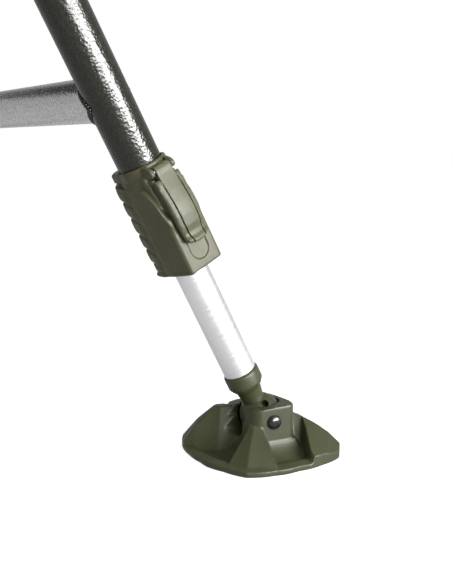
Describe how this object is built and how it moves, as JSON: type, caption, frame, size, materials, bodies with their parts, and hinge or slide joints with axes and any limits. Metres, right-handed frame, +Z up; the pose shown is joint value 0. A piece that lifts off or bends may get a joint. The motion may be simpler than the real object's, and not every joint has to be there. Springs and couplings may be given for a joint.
{
  "type": "folding carp fishing chair",
  "caption": "Low folding chair with padded seat and reclining back, telescopic legs with cam lever clamps and swivel mud feet.",
  "frame": {"origin": "middle of the bounding box, on the ground", "axes": "+X to the front of the chair, +Y to its left, +Z up"},
  "size_m": [0.7996, 0.7284, 1.0127],
  "materials": {
    "painted_tube": "dark green hammertone enamel, glossy, finely mottled",
    "olive_plastic": "moulded olive plastic, fine matt texture",
    "lever_plastic": "moulded olive plastic, smooth and slightly lighter",
    "black_plastic": "black plastic, satin gloss",
    "bright_tube": "satin aluminium with faint drawn lines",
    "steel": "zinc plated",
    "fabric": "woven polyester over padding"
  },
  "bodies": {
    "seat_frame": {"seat_rail_left": "painted_tube", "seat_rail_right": "painted_tube", "seat_front_hoop": "painted_tube", "seat_rear_bar": "painted_tube", "seat_pad": "fabric", "recline_plate_left": "painted_tube", "recline_plate_right": "painted_tube", "front_left_leg_bracket": "painted_tube", "front_right_leg_bracket": "painted_tube", "rear_left_leg_bracket": "painted_tube", "rear_right_leg_bracket": "painted_tube", "front_left_pivot_rivet": "steel", "front_right_pivot_rivet": "steel", "rear_left_pivot_rivet": "steel", "rear_right_pivot_rivet": "steel"},
    "front_leg_frame": {"front_leg_cross_tube": "painted_tube", "front_left_outer_tube": "painted_tube", "front_left_clamp_body": "olive_plastic", "front_left_lever_pin": "steel", "front_right_outer_tube": "painted_tube", "front_right_clamp_body": "olive_plastic", "front_right_lever_pin": "steel"},
    "rear_leg_frame": {"rear_leg_cross_tube": "painted_tube", "rear_left_outer_tube": "painted_tube", "rear_left_clamp_body": "olive_plastic", "rear_left_lever_pin": "steel", "rear_right_outer_tube": "painted_tube", "rear_right_clamp_body": "olive_plastic", "rear_right_lever_pin": "steel"},
    "front_left_lever": {"front_left_clamp_lever": "lever_plastic"},
    "front_left_extension": {"front_left_inner_tube": "bright_tube", "front_left_foot_stem": "olive_plastic"},
    "front_left_foot": {"front_left_mud_foot": "olive_plastic", "front_left_foot_pin": "black_plastic"},
    "front_right_lever": {"front_right_clamp_lever": "lever_plastic"},
    "front_right_extension": {"front_right_inner_tube": "bright_tube", "front_right_foot_stem": "olive_plastic"},
    "front_right_foot": {"front_right_mud_foot": "olive_plastic", "front_right_foot_pin": "black_plastic"},
    "rear_left_lever": {"rear_left_clamp_lever": "lever_plastic"},
    "rear_left_extension": {"rear_left_inner_tube": "bright_tube", "rear_left_foot_stem": "olive_plastic"},
    "rear_left_foot": {"rear_left_mud_foot": "olive_plastic", "rear_left_foot_pin": "black_plastic"},
    "rear_right_lever": {"rear_right_clamp_lever": "lever_plastic"},
    "rear_right_extension": {"rear_right_inner_tube": "bright_tube", "rear_right_foot_stem": "olive_plastic"},
    "rear_right_foot": {"rear_right_mud_foot": "olive_plastic", "rear_right_foot_pin": "black_plastic"},
    "back_frame": {"back_upright_left": "painted_tube", "back_upright_right": "painted_tube", "back_top_hoop": "painted_tube", "back_low_bar": "painted_tube", "back_pivot_rivet_left": "steel", "back_pivot_rivet_right": "steel", "knob_screw_left": "steel", "knob_screw_right": "steel", "back_pad": "fabric"},
    "left_knob": {"recline_knob_left": "black_plastic"},
    "right_knob": {"recline_knob_right": "black_plastic"}
  },
  "joints": [
    {"name": "front_legs_fold", "type": "hinge", "parent": "seat_frame", "child": "front_leg_frame", "pos_m": [0.19778, 0, 0.34857], "axis": [0, 1, 0], "range_deg": [0, 100]},
    {"name": "rear_legs_fold", "type": "hinge", "parent": "seat_frame", "child": "rear_leg_frame", "pos_m": [-0.14222, 0, 0.34857], "axis": [0, 1, 0], "range_deg": [-90, 0]},
    {"name": "back_recline", "type": "hinge", "parent": "seat_frame", "child": "back_frame", "pos_m": [-0.19622, 0, 0.46857], "axis": [0, 1, 0], "range_deg": [-25, 108]},
    {"name": "left_knob_turn", "type": "hinge", "parent": "back_frame", "child": "left_knob", "pos_m": [-0.21058, 0.28, 0.50803], "axis": [0, 1, 0], "range_deg": [0, 180]},
    {"name": "right_knob_turn", "type": "hinge", "parent": "back_frame", "child": "right_knob", "pos_m": [-0.21058, -0.28, 0.50803], "axis": [0, -1, 0], "range_deg": [0, 180]},
    {"name": "front_left_leg_slide", "type": "slide", "parent": "front_leg_frame", "child": "front_left_extension", "axis": [0.4303, 0.0836, -0.8988], "range_m": [-0.072, 0.045]},
    {"name": "front_left_lever_swing", "type": "hinge", "parent": "front_leg_frame", "child": "front_left_lever", "pos_m": [0.28182, 0.32065, 0.17665], "axis": [0.9016, -0.0884, 0.4234], "range_deg": [0, 95]},
    {"name": "front_left_foot_tilt", "type": "hinge", "parent": "front_left_extension", "child": "front_left_foot", "pos_m": [0.35269, 0.31711, 0.025], "axis": [-0.1908, 0.9816, 0], "range_deg": [-20, 42]},
    {"name": "front_right_leg_slide", "type": "slide", "parent": "front_leg_frame", "child": "front_right_extension", "axis": [0.4303, -0.0836, -0.8988], "range_m": [-0.072, 0.045]},
    {"name": "front_right_lever_swing", "type": "hinge", "parent": "front_leg_frame", "child": "front_right_lever", "pos_m": [0.28182, -0.32065, 0.17665], "axis": [-0.9016, -0.0884, -0.4234], "range_deg": [0, 95]},
    {"name": "front_right_foot_tilt", "type": "hinge", "parent": "front_right_extension", "child": "front_right_foot", "pos_m": [0.35269, -0.31711, 0.025], "axis": [0.1908, 0.9816, 0], "range_deg": [-20, 42]},
    {"name": "rear_left_leg_slide", "type": "slide", "parent": "rear_leg_frame", "child": "rear_left_extension", "axis": [-0.4384, 0, -0.8988], "range_m": [-0.072, 0.045]},
    {"name": "rear_left_lever_swing", "type": "hinge", "parent": "rear_leg_frame", "child": "rear_left_lever", "pos_m": [-0.23114, 0.244, 0.17665], "axis": [0.8682, 0.2588, -0.4234], "range_deg": [0, 95]},
    {"name": "rear_left_foot_tilt", "type": "hinge", "parent": "rear_left_extension", "child": "rear_left_foot", "pos_m": [-0.30003, 0.227, 0.025], "axis": [0, -1, 0], "range_deg": [-20, 42]},
    {"name": "rear_right_leg_slide", "type": "slide", "parent": "rear_leg_frame", "child": "rear_right_extension", "axis": [-0.4384, 0, -0.8988], "range_m": [-0.072, 0.045]},
    {"name": "rear_right_lever_swing", "type": "hinge", "parent": "rear_leg_frame", "child": "rear_right_lever", "pos_m": [-0.23114, -0.244, 0.17665], "axis": [-0.8682, 0.2588, 0.4234], "range_deg": [0, 95]},
    {"name": "rear_right_foot_tilt", "type": "hinge", "parent": "rear_right_extension", "child": "rear_right_foot", "pos_m": [-0.30003, -0.227, 0.025], "axis": [0, -1, 0], "range_deg": [-20, 42]}
  ]
}
